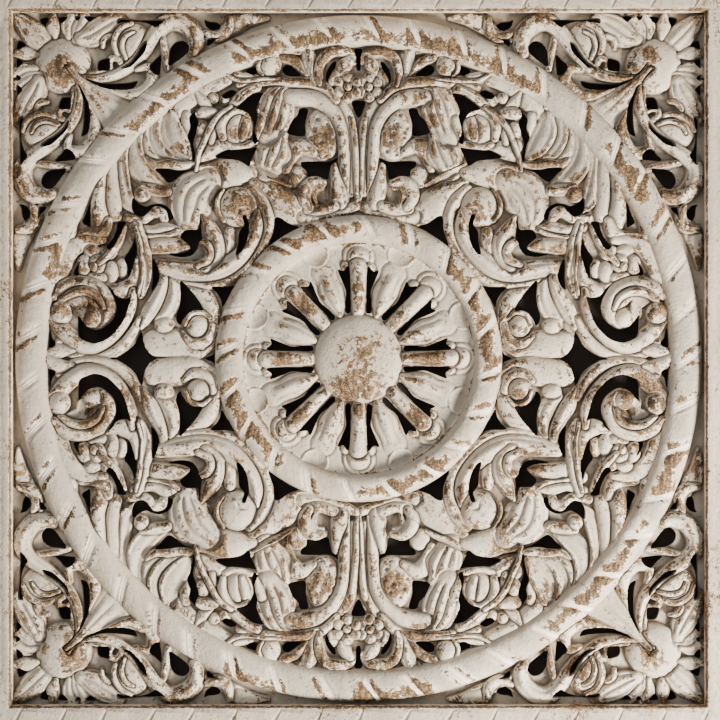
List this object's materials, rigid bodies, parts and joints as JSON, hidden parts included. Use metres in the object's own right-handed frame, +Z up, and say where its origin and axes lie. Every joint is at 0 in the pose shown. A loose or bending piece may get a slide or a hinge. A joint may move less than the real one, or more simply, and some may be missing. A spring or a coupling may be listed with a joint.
{
  "type": "carved wall panel",
  "caption": "Square wooden wall panel: a pierced, carved rosette with rope rings and leaf scrolls in a mitred frame, whitewashed and worn.",
  "frame": {"origin": "centre of the panel's flat back, where it lies against the wall", "axes": "+Z up, +X to the right seen from the front, +Y into the wall; the carved face looks towards -Y"},
  "size_m": [0.61, 0.024, 0.61],
  "materials": {
    "worn_whitewash": "matte"
  },
  "bodies": {
    "root": {"carved_board": "worn_whitewash", "frame_rail_top": "worn_whitewash", "frame_rail_bottom": "worn_whitewash", "frame_rail_left": "worn_whitewash", "frame_rail_right": "worn_whitewash"}
  },
  "joints": []
}
